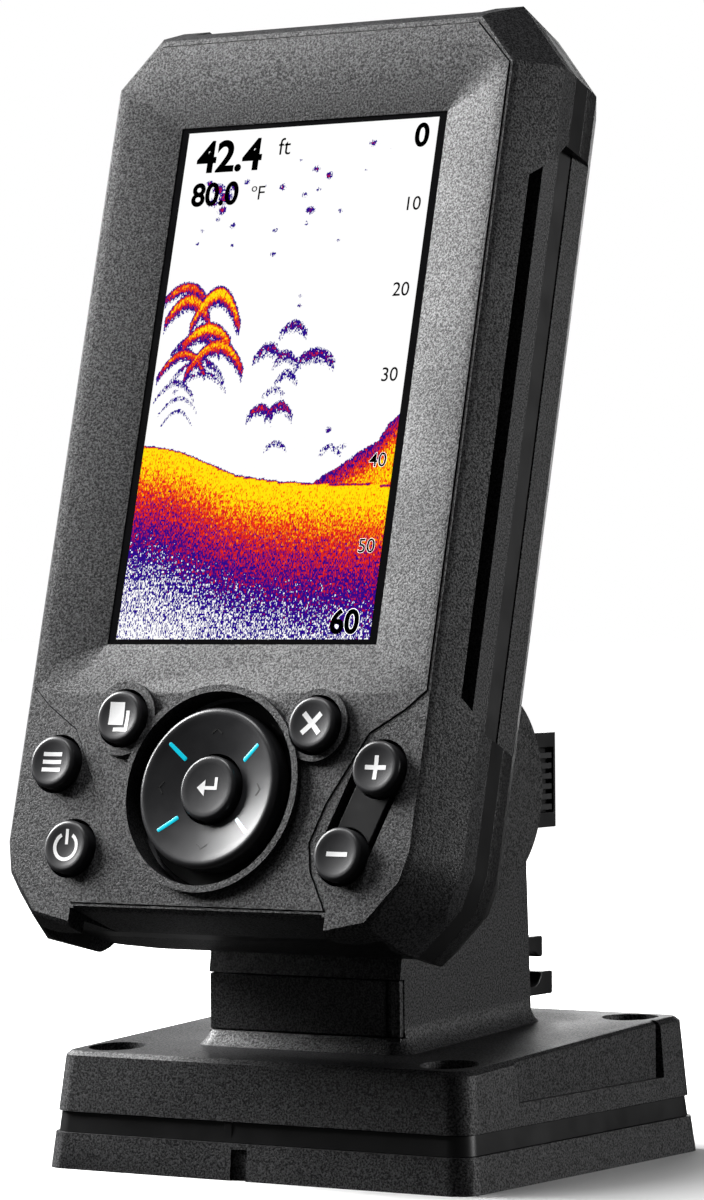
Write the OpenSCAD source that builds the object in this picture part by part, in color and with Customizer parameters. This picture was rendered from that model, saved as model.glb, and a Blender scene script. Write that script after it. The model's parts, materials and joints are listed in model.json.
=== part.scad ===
// Fish finder: a portrait sonar display on a swivelling, tilting quick-release bracket.
// Millimetres, +Z up, +Y towards the back. The origin is the centre of the base plate's underside.

/* [Display] */
// Width of the clear window in front of the display
screen_w = 57.2; // [50:0.2:62]
// Height of the clear window in front of the display
screen_h = 97; // [88:0.5:102]
// Depth of the sloped bezel around the window
bezel_depth = 2.2; // [1:0.1:2.6]
// Thickness of the protective lens
lens_t = 1.4; // [0.8:0.1:1.5]
// Thickness of the display module
lcd_t = 3; // [2:0.1:3.2]

/* [Case] */
// Width of the case at its front face
head_w = 86; // [84:0.5:110]
// Height of the case above the middle of the display
head_up = 65.8; // [64:0.2:80]
// Depth of the case below the middle of the display
head_down = 100; // [99:0.5:112]
// Depth of the front housing
front_d = 14.5; // [13.5:0.1:16]
// Depth of the middle frame
mid_d = 5; // [4:0.1:8]
// Depth of the rear cover
rear_d = 11.5; // [11:0.1:14]
// How far the case grows wider on each side behind its face
flare = 4.2; // [3:0.1:5]
// Depth at which the case is widest
flare_d = 9.5; // [8:0.5:11]
// Wall of the case
case_wall = 2.3; // [1.8:0.1:2.6]
// Thickness of the bezel plate
fascia_t = 4; // [3.8:0.1:4.4]
// Lean of the display from upright at rest, in degrees
lean = 14.7; // [8:0.1:16]

/* [Keys] */
// Diameter of a round key
key_d = 9.5; // [7:0.1:10]
// Clearance between a key and its hole, on the radius
key_gap = 0.6; // [0.3:0.05:0.7]
// How far a key stands proud of the face
key_proud = 1.8; // [1:0.1:3]
// Stroke of a key
key_stroke = 0.8; // [0.4:0.1:0.9]
// Distance of the direction pad below the middle of the display
pad_down = 75; // [75:0.5:78]
// Diameter of the well around the direction pad
pad_well_d = 34.6; // [33:0.1:35]
// Diameter of the direction pad
pad_d = 28.8; // [26:0.1:30]
// Diameter of the enter key
enter_d = 11.6; // [9:0.1:12]
// Rocking angle of the direction pad, in degrees
pad_rock = 3; // [1:0.5:3]

/* [Bracket] */
// Height of the tilt axis
tilt_z = 68; // [66:0.5:90]
// Distance of the tilt axis in front of the swivel axis
tilt_y = 3; // [1:0.5:5]
// Radius of the round cheeks on the tilt axis
cheek_r = 18.8; // [18.2:0.1:19.2]
// Thickness of a cheek
cheek_t = 5.5; // [4.6:0.1:8]
// Radius of a release trunnion
trunnion_r = 5; // [3.5:0.1:6]
// Running clearance of a trunnion, on the radius
trunnion_gap = 0.05; // [0.02:0.01:0.1]
// Inward travel of a release grip
release_travel = 4.3; // [4:0.1:5]
// Width of the column
column_w = 41; // [38:0.5:56]
// Distance of the column's front face in front of the swivel axis
column_front = 23.7; // [23.2:0.1:25]
// Distance of the column's back face behind the swivel axis
column_back = 21.5; // [18:0.1:23]
// Wall of the column
column_wall = 2.5; // [2:0.1:3]

/* [Base] */
// Width of the base at the bottom
base_w = 90.7; // [86:0.1:110]
// Length of the base at the bottom
base_l = 83; // [80:0.5:100]
// Radius of the base's corners
base_corner = 4.5; // [3.5:0.5:8]
// Inward draft of the base's walls, for each millimetre of height
base_draft = 0.1; // [0.02:0.01:0.14]
// Thickness of the base plate
plate_t = 6.5; // [6:0.1:10]
// Thickness of the glide band
band_t = 3.7; // [3:0.1:6]
// Height of the swivel housing at its front edge, above the glide band
housing_front_h = 10.8; // [9:0.1:14]
// Height of the swivel housing at its rear edge, above the glide band
housing_rear_h = 14.6; // [12:0.1:16]
// Wall of the swivel housing
housing_wall = 2.5; // [2:0.1:3]
// Spacing of the mounting holes across the base
bolt_dx = 71; // [66:0.5:72]
// Spacing of the mounting holes along the base
bolt_dy = 63; // [58:0.5:64]
// Diameter of a mounting hole
bolt_hole_d = 4.5; // [3.5:0.1:5.5]
// Diameter of the driver access holes above the mounting holes
access_d = 10.4; // [9:0.1:10.8]
// Radius of the swivel bolt
pivot_r = 4; // [3:0.1:5]
// Running clearance of the swivel bolt, on the radius
pivot_gap = 0.05; // [0.02:0.01:0.1]
// Swivel angle to each side, in degrees
swivel_limit = 60; // [20:5:75]

/* [Socket] */
// Inner radius of the cable socket
socket_r = 7; // [6:0.1:8]
// Depth of the cable socket
socket_depth = 12; // [11:0.5:13]

/* [Hidden] */
$fn = 64;
EPS = 0.02;
SLIDE = 0.1;                                   // gap between flat faces that slide
MID_W = -front_d;                              // where the front housing ends
REAR_W = MID_W - mid_d;                        // where the middle frame ends
BACK_W = REAR_W - rear_d;                      // the back of the rear cover
half_w = head_w / 2;
key_r = key_d / 2;
key_hole_r = key_r + key_gap;
flange_r = key_hole_r + 0.7;
flange_top = -fascia_t - 0.2;
flange_t = 1;
mat_top = -fascia_t - 2.95;
mat_t = 1.5;
board_t = 1.3;
pad_r = pad_d / 2;
well_r = pad_well_d / 2;
enter_r = enter_d / 2;
pad_v = -pad_down;

// The tilt axis in the head's own axes: v up the display, w out of it
drum_r = 15.8;
axis_w = BACK_W - drum_r - 0.9;
axis_v = -64;
cheek_in = column_w / 2 + 0.5;
cheek_out = cheek_in + cheek_t;
trunnion_tip = cheek_in + release_travel - 0.6;

// Where each key sits: beside the pad, or a fixed way in from the case's side
KEY_MENU = [-half_w + 8.8, pad_v + 4.1];
KEY_POWER = [-half_w + 14.5, pad_v - 11.1];
KEY_PLUS = [half_w - 8.8, pad_v + 4.1];
KEY_MINUS = [half_w - 14.3, pad_v - 11.1];
page_web = 1.25;                               // wall between the pad's well and the page key's hole
exit_web = 0.77;                               // the same at the exit key
KEY_PAGE = beside_pad(149, page_web);
KEY_EXIT = beside_pad(29.4, exit_web);

// A place round the pad at an angle, clear of its well by a key hole and a wall
function beside_pad(angle, web) = [0, pad_v]
    + (well_r + web + key_hole_r) * [cos(angle), sin(angle)];

// The case screws, just inside the side walls
screw_u = half_w - 7;
SCREWS = [for (s = [-1, 1], v = [head_up - 11, -3, -56]) [s * screw_u, v]];

column_half = column_w / 2;
band_top = plate_t + band_t;
housing_z = band_top + SLIDE;
floor_top = housing_z + housing_wall;
washer_z = floor_top + SLIDE;
stop_r = 16;
stop_pin_r = 2;
stop_gap = 0.3;
BOLTS = [for (x = [-1, 1], y = [-1, 1]) [x * bolt_dx / 2, y * bolt_dy / 2]];
cover_low = 24.6;                              // the front cover's lower edge
cover_top = tilt_z - 33;                       // its upper edge, where the column starts to lean back
screw_r = 1.25;
screw_hole_r = 1.6;
rod_in = 8.5;                                  // where the pad's pivot rods begin

// ---- helpers ----

// Unit vector, and the normal to the left of a direction
function unit2(a) = a / norm(a);
function left_of(a) = [-a.y, a.x];

// A counter-clockwise outline moved inwards by d, with mitred corners
function inset(pts, d) = let (n = len(pts)) [
    for (i = [0 : n - 1])
        let (p = pts[i],
             n1 = left_of(unit2(p - pts[(i + n - 1) % n])),
             n2 = left_of(unit2(pts[(i + 1) % n] - p)))
        p + d * (n1 + n2) / (1 + n1 * n2)
];

// A half outline, listed up the right side, joined to its mirror image
function both_sides(pts) = concat(pts, [for (i = [len(pts) - 1 : -1 : 0]) [-pts[i].x, pts[i].y]]);

// The case's outline at its front face, without the growth towards the back
CASE = both_sides([
    [27, -head_down],
    [half_w - 7.6, -head_down + 1.8],
    [half_w - 1.4, -head_down + 9.4],
    [half_w, -head_down + 15],
    [half_w, head_up - 9.4],
    [half_w - 8.1, head_up]
]);

// The bezel plate's outline: as wide as the display, and narrower between the corner keys
fascia_half = half_w - 1.6;
fascia_bottom = -head_down + 4.3;
FASCIA = both_sides([
    [26.5, fascia_bottom],
    [22.6, pad_v - 14],
    [21.6, pad_v - 9],
    [24, pad_v - 2],
    [fascia_half - 10.4, pad_v + 10.5],
    [fascia_half - 3.8, pad_v + 14.7],
    [fascia_half, pad_v + 18],
    [fascia_half, head_up - 9.8],
    [fascia_half - 7.4, head_up - 2]
]);

// Four thin corner discs of the base at height z, for a hull; the rear pair may stand higher
module base_corners(z, in = 0, rear_rise = 0) {
    a = base_w / 2 - base_draft * z - in;
    b = base_l / 2 - base_draft * z - in;
    r = max(base_corner - in, 0.8);
    for (x = [-1, 1], y = [-1, 1])
        translate([x * (a - r), y * (b - r), z + (y > 0 ? rear_rise : 0)]) cylinder(h = EPS, r = r, $fn = 32);
}

// A plate in the head's axes, between two depths
module plate(pts, from, to) translate([0, 0, min(from, to)])
    linear_extrude(abs(to - from)) polygon(pts);

// Children drawn in the head's axes, standing on the tilt axis
module at_head() translate([0, -tilt_y, tilt_z]) rotate([90 - lean, 0, 0])
    translate([0, -axis_v, -axis_w]) children();

// A rod along X between two places
module x_rod(from, to, r) translate([min(from, to), 0, 0]) rotate([0, 90, 0])
    cylinder(h = abs(to - from), r = r);

// A profile in the (v, w) plane of the head, run across u
module across(from, to, pts) translate([min(from, to), 0, 0]) rotate([90, 0, 90])
    linear_extrude(abs(to - from)) polygon(pts);

// A solid turned about the tilt axis in the bracket's axes
module on_tilt_axis() translate([0, -tilt_y, tilt_z]) children();

// The case's outline grown by g; its chin grows less than its sides
function grown(g) = [for (p = inset(CASE, -g)) [p.x, max(p.y, -head_down - 0.2 * g)]];

// The case's outer body between two depths: it widens quickly behind its face, then narrows
face_edge = 0.9;
back_bevel = 7.5;
module case_body(from, to) intersection() {
    hull() {
        plate(inset(CASE, face_edge), -0.2, -0.2 - EPS);
        plate(CASE, -0.2 - face_edge, -0.2 - face_edge - EPS);
        plate(grown(flare), -flare_d, -flare_d - EPS);
        plate(grown(flare - 1.6), BACK_W + back_bevel, BACK_W + back_bevel - EPS);
        plate(inset(CASE, 1.5), BACK_W + EPS, BACK_W);
    }
    translate([0, 0, (from + to) / 2]) cube([4 * head_w, 4 * head_w, from - to], center = true);
}

// The long waist cut into each side of the case, between the corner lugs
waist_top = head_up - 21;
waist_low = pad_v + 11;
waist_d = 5.4;
waist_out = 2;
module side_waist(depth, from, to) for (s = [-1, 1])
    intersection() {
        across(s * (half_w - depth), s * (half_w + 8), [
            [waist_top - 8, -waist_d], [waist_top, -front_d + 0.8], [waist_top, BACK_W - 2],
            [waist_low, BACK_W - 2], [waist_low + 2, -front_d + 3], [waist_low + 7, -waist_d]
        ]);
        translate([0, 0, (from + to) / 2])
            cube([4 * head_w, 4 * head_w, abs(from - to)], center = true);
    }

// The shallow steps over and under the case, between its corner lugs
lug_in = half_w - 12;
chin_v = -head_down + 1.8;
module end_steps(from, to) {
    translate([0, -head_down - 3 + 1.8, (from + to) / 2]) cube([2 * (lug_in + 5), 6, abs(from - to)], center = true);
    translate([0, head_up + 3.7, (from + to) / 2]) cube([2 * lug_in, 6, abs(from - to)], center = true);
}

// The chin slopes back under the bezel plate between the lower corners
chin_half = 26.2;
module chin_slope() across(-chin_half, chin_half, [
    [-head_down - 4, 1], [fascia_bottom - 0.5, 1], [fascia_bottom - 0.5, 0],
    [fascia_bottom - 1.4, -1.5], [chin_v, -12.1], [-head_down - 4, -12.1]
]);

// The inside of the case between two depths: walls thicker behind the waist and the chin,
// and a boss of radius r, webbed to the wall, for each screw
waist_wall_in = half_w - 5.4;
module case_hollow(from, to, r, wall = case_wall) difference() {
    plate(inset(CASE, wall), from, to);
    for (s = [-1, 1]) translate([s * (waist_wall_in + 5), (waist_top + waist_low) / 2, (from + to) / 2])
        cube([10, waist_top - waist_low + 5, 60], center = true);
    translate([0, chin_v + case_wall - 5, 0]) cube([2 * half_w, 10, 120], center = true);
    for (p = SCREWS) translate([p.x, p.y, BACK_W - 1]) {
        cylinder(h = 60, r = r);
        translate([p.x > 0 ? 0 : -8, -2, 0]) cube([8, 4, 60]);
    }
}

// ---- base ----

module base_plate() color([0.10, 0.10, 0.11]) difference() {
    union() {
        hull() {
            base_corners(0);
            base_corners(plate_t - EPS);
        }
        translate([0, stop_r, plate_t - 1]) cylinder(h = band_t + housing_wall + 0.8, r = stop_pin_r);
    }
    // bolts to the boat, sunk so that the swivel housing passes over their heads
    for (b = BOLTS) translate([b.x, b.y, 0]) {
        translate([0, 0, -1]) cylinder(h = plate_t + 2, d = bolt_hole_d);
        translate([0, 0, plate_t - 2.6]) cylinder(h = 4, d = access_d - 1);
    }
    // the swivel bolt and the recess for its head
    translate([0, 0, -1]) cylinder(h = plate_t + 2, r = pivot_r + pivot_gap);
    translate([0, 0, -1]) cylinder(h = 1 + 3.6, r = 2 * pivot_r);
    // the index notch in the front edge
    translate([-2.4, -base_l / 2, plate_t / 2 - 1]) cube([3.4, 2.2, plate_t], center = true);
}

module glide_band() color([0.03, 0.03, 0.03]) difference() {
    union() {
        hull() {
            base_corners(plate_t, in = 0.6);
            base_corners(band_top - EPS, in = 0.6);
        }
        translate([-5.2, -base_l / 2 + base_draft * band_top + 0.9, plate_t + band_t / 2])
            cube([1.6, 1.2, band_t], center = true);
    }
    translate([0, 0, plate_t - 1]) cylinder(h = band_t + 2, r = pivot_r + pivot_gap);
    translate([0, stop_r, plate_t - 1]) cylinder(h = band_t + 2, r = stop_pin_r);
    for (b = BOLTS) translate([b.x, b.y, plate_t - 1])
        cylinder(h = band_t + 2, d = access_d - 1);
}

module swivel_bolt() color([0.62, 0.62, 0.64]) {
    translate([0, 0, 0.6]) cylinder(h = 3, r = 2 * pivot_r - 0.8);
    translate([0, 0, 3.6]) cylinder(h = washer_z + 6.4 - 3.6, r = pivot_r);
}

module swivel_washer() color([0.70, 0.70, 0.72]) translate([0, 0, washer_z]) difference() {
    cylinder(h = 1.2, r = 2.2 * pivot_r);
    translate([0, 0, -1]) cylinder(h = 4, r = pivot_r);
}

module swivel_nut() color([0.60, 0.60, 0.62]) translate([0, 0, washer_z + 1.2]) difference() {
    cylinder(h = 4.4, r = 1.9 * pivot_r, $fn = 6);
    translate([0, 0, -1]) cylinder(h = 8, r = pivot_r);
}

// ---- bracket ----

// The column's side profile in (y, z), inset by d
function column_profile(d) = [
    [-column_front + d, housing_z + 4],
    [column_back - d, housing_z + 4],
    [column_back - d - 2.4, tilt_z],
    [-tilt_y - drum_r + 0.6 + d, tilt_z],
    [-column_front + d, cover_top]
];

module column_solid(half, d) {
    translate([-half, 0, 0]) rotate([90, 0, 90]) linear_extrude(2 * half)
        polygon(column_profile(d));
    on_tilt_axis() x_rod(-half, half, drum_r - d);
}

// The top of the housing at a distance y behind the swivel axis
function top_z(y) = housing_z + housing_front_h
    + (housing_rear_h - housing_front_h) * (y + base_l / 2) / base_l;

FOOT_STEPS = 5;
foot_r = 6;
module housing_outside() {
    // drafted walls, with the top edges eased
    hull() {
        base_corners(housing_z);
        base_corners(housing_z + housing_front_h - 0.8, rear_rise = housing_rear_h - housing_front_h);
        base_corners(housing_z + housing_front_h - EPS, in = 0.9, rear_rise = housing_rear_h - housing_front_h);
    }
    // a concave foot around the column
    for (i = [0 : FOOT_STEPS - 1]) hull() {
        column_foot(i / FOOT_STEPS);
        column_foot((i + 1) / FOOT_STEPS);
    }
}

// One ring of the concave foot, from wide and low at 0 to the column's own size at 1
module column_foot(k) {
    out = foot_r * (1 - sin(90 * k));
    rise = foot_r * (1 - cos(90 * k));
    r = 2 + out;
    for (x = [-column_half + 2, column_half - 2], y = [-column_front + 2, column_back - 2])
        translate([x, y, top_z(y) - 1.2 + rise]) cylinder(h = EPS, r = r, $fn = 32);
}

module swivel_housing() color([0.07, 0.07, 0.08]) difference() {
    union() {
        housing_outside();
        column_solid(column_half, 0);
    }
    // hollow of the base part, under its roof
    difference() {
        hull() {
            base_corners(floor_top, in = housing_wall);
            base_corners(housing_z + housing_front_h - housing_wall, in = housing_wall);
        }
        // bosses for the access holes, each filled out to the corner it stands in
        for (b = BOLTS) translate([b.x, b.y, 0]) {
            cylinder(h = 60, d = access_d + 3);
            translate([b.x > 0 ? 0 : -20, b.y > 0 ? 0 : -20, 0]) cube([20, 20, 60]);
        }
    }
    // hollow of the column
    translate([0, 0, -EPS]) column_solid(column_half - column_wall, column_wall);
    // driver access holes
    for (b = BOLTS) translate([b.x, b.y, 0])
        cylinder(h = 60, d = access_d);
    // swivel bolt and the curved slot of its stop pin
    translate([0, 0, housing_z - 1]) cylinder(h = housing_wall + 2, r = pivot_r + pivot_gap);
    slot_span = swivel_limit + 2 + asin(stop_pin_r / stop_r);
    translate([0, 0, housing_z - 1]) rotate([0, 0, 90 - slot_span])
        rotate_extrude(angle = 2 * slot_span) translate([stop_r - stop_pin_r - stop_gap, 0])
            square([2 * (stop_pin_r + stop_gap), housing_wall + 2]);
    // trunnion bores
    on_tilt_axis() x_rod(-60, 60, trunnion_r + trunnion_gap);
    // window at the back for the grips
    translate([-grip_out - 0.4, 6, tilt_z - arm_h / 2 - 1.4]) cube([2 * grip_out + 0.8, 40, arm_h + 0.8]);
    // seat of the front cover
    column_cover_cut(0);
    // shallow panel in each side wall
    for (s = [-1, 1]) translate([s * (panel_x + 2), 2.7, panel_low + panel_h / 2]) cube([4, 50, panel_h], center = true);
    for (s = [-1, 1]) translate([s * (panel_x + 1.2), 28.3, panel_low + panel_h / 2]) cube([5, 1.2, panel_h], center = true);
}

// The shallow panel in each side of the housing, with an upright groove behind it
panel_low = housing_z + 4;
panel_h = 20;
panel_x = base_w / 2 - base_draft * 24;

// The front cover wraps the column's face; in > 0 makes it smaller all round
cover_t = 1.4;
module column_cover_cut(in) {
    translate([-column_half - 1 + in, -column_front - 1, cover_low + in])
        cube([2 * (column_half + 1 - in), 1 + cover_t, cover_top - cover_low - 2 * in]);
}

module column_cover() color([0.09, 0.09, 0.10]) {
    translate([-column_half + 0.1, -column_front, cover_low + 0.1])
        cube([column_w - 3.2, cover_t, cover_top - cover_low - 0.2]);
    translate([column_half - 2, -column_front, cover_low + 0.1])
        cube([1.9, cover_t, cover_top - cover_low - 0.2]);
    // tongue behind the groove, joining the two faces
    translate([column_half - 3.6, -column_front + 0.9, cover_low + 0.1])
        cube([2.2, cover_t - 0.9, cover_top - cover_low - 0.2]);
}

// A small guide on the column's back that holds the lead
clip_half = column_half - 2.5;
clip_bore_r = 3.1;
clip_mouth = 2.8;
module cable_clip() color([0.08, 0.08, 0.09]) translate([0, column_back, top_z(column_back)]) difference() {
    translate([-clip_half, 0.1, 4.4]) {
        cube([2 * clip_half, 11.5, 5]);
        cube([2 * clip_half, 1.2, 14]);
        translate([0, 0, 5]) cube([2 * clip_half, 8, 6]);
    }
    translate([0, 4.4, 9.3]) {
        x_rod(-clip_half - 1, clip_half + 1, clip_bore_r);
        translate([-clip_half - 1, 0, -0.6]) cube([2 * clip_half + 2, 10, clip_mouth]);
    }
}

grip_h = 17.5;
arm_h = 15;
grip_out = column_half - column_wall - 0.4;
grip_in = grip_out - 10;
head_out = column_half + 1;
head_front = tilt_y + column_back + 0.6;
head_d = 8.6;
grip_recess = 1.4;
spring_r = 2.6;
spring_seat = 2;
// A release slider, on the +X side: the trunnion, its arm and the grip behind the column
module release_slider() on_tilt_axis() difference() {
    union() {
        x_rod(grip_in, trunnion_tip, trunnion_r);
        translate([grip_in, -7, -arm_h / 2 - 1]) cube([grip_out - grip_in, head_front + 9, arm_h]);
        // the grip's head, with its corners cut back
        translate([grip_in, head_front, 0]) hull() {
            translate([0, 0, 0.5 - grip_h / 2]) cube([head_out - grip_in, head_d - 2, grip_h]);
            translate([0, head_d - 1, 3.5 - grip_h / 2]) cube([head_out - grip_in - 2, 1, grip_h - 6]);
        }
    }
    // the finger recess in the side of the grip, and the seat of the spring
    translate([head_out - grip_recess, head_front + 1, -5.5]) cube([4, 5, 12]);
    x_rod(grip_in - 1, grip_in + spring_seat, spring_r + 0.8);
}

module release_left() color([0.05, 0.05, 0.06]) mirror([1, 0, 0]) release_slider();
module release_right() color([0.05, 0.05, 0.06]) release_slider();

module grip_pad() on_tilt_axis() for (i = [0 : 5])
    translate([head_out - grip_recess, head_front + 1.3, -5 + 1.9 * i]) cube([1.1, 4.4, 1]);
module grip_pad_left() color([0.12, 0.12, 0.12]) mirror([1, 0, 0]) grip_pad();
module grip_pad_right() color([0.12, 0.12, 0.12]) grip_pad();

// The envelope of the coil spring that keeps both trunnions out
module release_spring() color([0.7, 0.7, 0.72]) on_tilt_axis() difference() {
    x_rod(-grip_in - spring_seat + 0.1, grip_in + spring_seat - 0.1, spring_r + 0.5);
    x_rod(-grip_in - 3, grip_in + 3, spring_r - 0.5);
}

// ---- case ----

module front_housing() color([0.12, 0.12, 0.13]) at_head() difference() {
    case_body(0, MID_W);
    // seat of the bezel plate, and the window behind it
    plate(inset(FASCIA, -0.2), 1, -fascia_t - SLIDE);
    difference() {
        plate(inset(FASCIA, 2.2), 1, -8);
        for (p = SCREWS) translate([p.x, p.y, -40]) {
            cylinder(h = 40 - fascia_t - SLIDE, r = 3);
            translate([p.x > 0 ? 0 : -8, -2, 0]) cube([8, 4, 40 - fascia_t - SLIDE]);
        }
    }
    case_hollow(-fascia_t - 1.6, MID_W - 1, 3);
    // screw pilot holes
    for (p = SCREWS) translate([p.x, p.y, MID_W - 1]) cylinder(h = 10, r = screw_r);
    // corner keys, and the slot that joins plus and minus
    for (k = [KEY_MENU, KEY_POWER, KEY_PLUS, KEY_MINUS]) translate([k.x, k.y, -20]) {
        cylinder(h = 30, r = key_hole_r);
        cylinder(h = 20 - fascia_t, r = flange_r + 0.3);
    }
    zoom_slot(2 * key_hole_r - 0.4, 1, -2.6);
    // waist between the lugs, with its deep groove
    side_waist(-waist_out, -waist_d, MID_W - 1);
    side_waist(1, -waist_d, -waist_d - 4.4);
    end_steps(-5, MID_W - 1);
    chin_slope();
    // upright groove at each end of the chin
    for (s = [-1, 1]) translate([s * (chin_half + 0.3), fascia_bottom - 5, -8]) cube([0.8, 8, 30], center = true);
}

// A straight slot of the given width from the plus key to the minus key
module zoom_slot(width, from, to) {
    d = KEY_MINUS - KEY_PLUS;
    translate([KEY_PLUS.x, KEY_PLUS.y, min(from, to)]) rotate([0, 0, atan2(d.y, d.x)])
        translate([0, -width / 2, 0]) cube([norm(d), width, abs(to - from)]);
}

module zoom_bridge() color([0.10, 0.10, 0.11]) at_head() difference() {
    zoom_slot(7.3, -0.7, -2.6);
    for (k = [KEY_PLUS, KEY_MINUS]) translate([k.x, k.y, -10]) cylinder(h = 20, r = key_r + 0.35);
}

module middle_frame() color([0.06, 0.06, 0.06]) at_head() difference() {
    case_body(MID_W, REAR_W);
    case_hollow(MID_W + 1, REAR_W - 1, 3, 5.4);
    for (p = SCREWS) translate([p.x, p.y, REAR_W - 1]) cylinder(h = 30, r = screw_hole_r);
    side_waist(0.6 - waist_out, MID_W + 1, REAR_W - 1);
    end_steps(MID_W + 1, REAR_W - 1);
    gasket_ring(0.02, MID_W + 1, MID_W - 1);
}

// A ring let into the middle frame's front face, outside the screws
GASKET = both_sides([
    [lug_in, chin_v + 1.6], [half_w - 3.7, -head_down + 16], [half_w - 3.7, head_up - 10.4],
    [half_w - 10.5, head_up - 2.2]
]);
module gasket_ring(extra, from, to) difference() {
    plate(inset(GASKET, -extra), from, to);
    plate(inset(GASKET, 1 + extra), from + 1, to - 1);
}

module case_gasket() color([0.16, 0.16, 0.17]) at_head() gasket_ring(0, MID_W, MID_W - 1);

module rear_cover() color([0.30, 0.30, 0.31]) at_head() difference() {
    union() {
        difference() {
            case_body(REAR_W, BACK_W);
            difference() {
                case_hollow(REAR_W + 1, BACK_W + case_wall, 3.6);
                translate([0, socket_v, 0]) cylinder(h = 100, r = socket_r + 4, center = true);
            }
            side_waist(0.3 - waist_out, REAR_W + 1, BACK_W - 1);
            end_steps(REAR_W + 1, BACK_W - 1);
        }
        // the two cheeks of the tilt joint
        for (s = [-1, 1]) {
            translate([0, axis_v, axis_w]) x_rod(s * cheek_in, s * cheek_out, cheek_r);
            across(s * cheek_in, s * cheek_out, [
                [axis_v + 10, BACK_W + 1], [axis_v + 10, axis_w],
                [axis_v - cheek_r, axis_w], [axis_v - 20, BACK_W + 1]
            ]);
        }
    }
    // blind bores for the trunnions, and the washers' seats
    translate([0, axis_v, axis_w]) {
        x_rod(-cheek_out + 1.4, cheek_out - 1.4, trunnion_r + trunnion_gap);
        x_rod(-cheek_in - 1, cheek_in + 1, 12);
    }
    // screws from behind
    for (p = SCREWS) translate([p.x, p.y, BACK_W - 1]) {
        cylinder(h = 30, r = screw_hole_r);
        cylinder(h = 1 + 2.6, r = 2.9);
    }
    // seat of the cable socket
    translate([0, socket_v, BACK_W - 1]) cylinder(h = 30, r = socket_r + 1.6);
}

module tilt_washers() color([0.20, 0.20, 0.21]) at_head() translate([0, axis_v, axis_w])
    for (s = [-1, 1]) difference() {
        x_rod(s * (cheek_in + 0.1), s * (cheek_in + 1), 11.9);
        x_rod(s * (cheek_in - 1), s * (cheek_in + 2), trunnion_r + 0.2);
    }

module case_screws() color([0.55, 0.55, 0.57]) at_head() for (p = SCREWS) translate([p.x, p.y, BACK_W])
    difference() {
        union() {
            translate([0, 0, 0.8]) cylinder(h = 1.8, r = 2.7);
            translate([0, 0, 2.6]) cylinder(h = rear_d + mid_d + 5 - 2.6, r = screw_r);
        }
        cylinder(h = 1.8, r = 1.2, $fn = 6);
    }

WINDOW = both_sides([[screen_w / 2, -screen_h / 2], [screen_w / 2, screen_h / 2]]);

// The sloped recess from the bezel's rim down to the window
module bezel_slope() hull() {
    plate(BEZEL_RIM, EPS, 0);
    plate(WINDOW, -bezel_depth, -bezel_depth - EPS);
}

rim_half = fascia_half - 1.7;
rim_top = head_up - 7.8;
rim_bottom = pad_v + 17.5;
BEZEL_RIM = both_sides([
    [rim_half - 4.5, rim_bottom], [rim_half - 1.3, rim_bottom + 1.3], [rim_half, rim_bottom + 4.5],
    [rim_half, rim_top - 4.5], [rim_half - 1.3, rim_top - 1.3], [rim_half - 4.5, rim_top]
]);

module fascia() color([0.13, 0.13, 0.14]) at_head() difference() {
    union() {
        plate(FASCIA, 0, -fascia_t);
        // raised rims around the pad, the page key and the exit key
        translate([0, pad_v, -1]) cylinder(h = 2.2, r = well_r + 1.2);
        translate([KEY_PAGE.x, KEY_PAGE.y, -1]) cylinder(h = 1.9, r = key_hole_r + 1.4);
        translate([KEY_EXIT.x, KEY_EXIT.y, -1]) cylinder(h = 1.9, r = key_hole_r + 1.1);
    }
    bezel_slope();
    // window, and the seat of the lens behind it
    plate(WINDOW, 1, -20);
    translate([0, 0, -bezel_depth - 0.2 - 10]) cube([screen_w + 4.8, screen_h + 4.8, 20], center = true);
    // holes for the pad and the two keys
    translate([0, pad_v, -20]) cylinder(h = 30, r = well_r);
    for (k = [KEY_PAGE, KEY_EXIT]) translate([k.x, k.y, -20]) cylinder(h = 30, r = key_hole_r);
}

module screen_lens() color([0.02, 0.02, 0.02]) at_head()
    translate([0, 0, -bezel_depth - 0.2 - lens_t / 2]) cube([screen_w + 4.6, screen_h + 4.6, lens_t], center = true);

// ---- inside the case ----

module display_module() color([0.75, 0.78, 0.80]) at_head()
    translate([0, 0, -fascia_t - 0.1 - lcd_t / 2]) cube([screen_w + 3, screen_h + 6, lcd_t], center = true);

tray_w = -fascia_t - 0.1 - lcd_t;
module light_tray() color([0.80, 0.80, 0.82]) at_head()
    translate([0, 0, tray_w - 1]) cube([screen_w + 4, screen_h + 7, 2], center = true);

board_w = tray_w - 2 - 1.4;
module display_flex() color([0.75, 0.50, 0.15]) at_head() {
    translate([0, screen_h / 2 + 3.8, tray_w + 0.3]) cube([18, 0.6, 3], center = true);
    translate([0, screen_h / 2 + 3.8, tray_w - 2.4]) cube([18, 0.6, 2.8], center = true);
}

module main_board() color([0.10, 0.32, 0.18]) at_head() difference() {
    translate([0, 1, board_w - board_t / 2]) cube([2 * (screw_u - 4.2), screen_h + 4, board_t], center = true);
    for (u = [-1, 1], v = [-1, 1]) translate([u * 27, v * 45, board_w - 2]) cylinder(h = 3, r = 1.6);
}

module processor_shield() color([0.72, 0.72, 0.74]) at_head()
    translate([-6, 26, board_w - board_t - 1.3]) cube([26, 20, 2.6], center = true);

module buzzer() color([0.08, 0.08, 0.08]) at_head() translate([16, -30, board_w - board_t - 3.2]) difference() {
    cylinder(h = 3.2, r = 4.8);
    translate([0, 0, -1]) cylinder(h = 1.6, r = 0.9);
}

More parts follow.
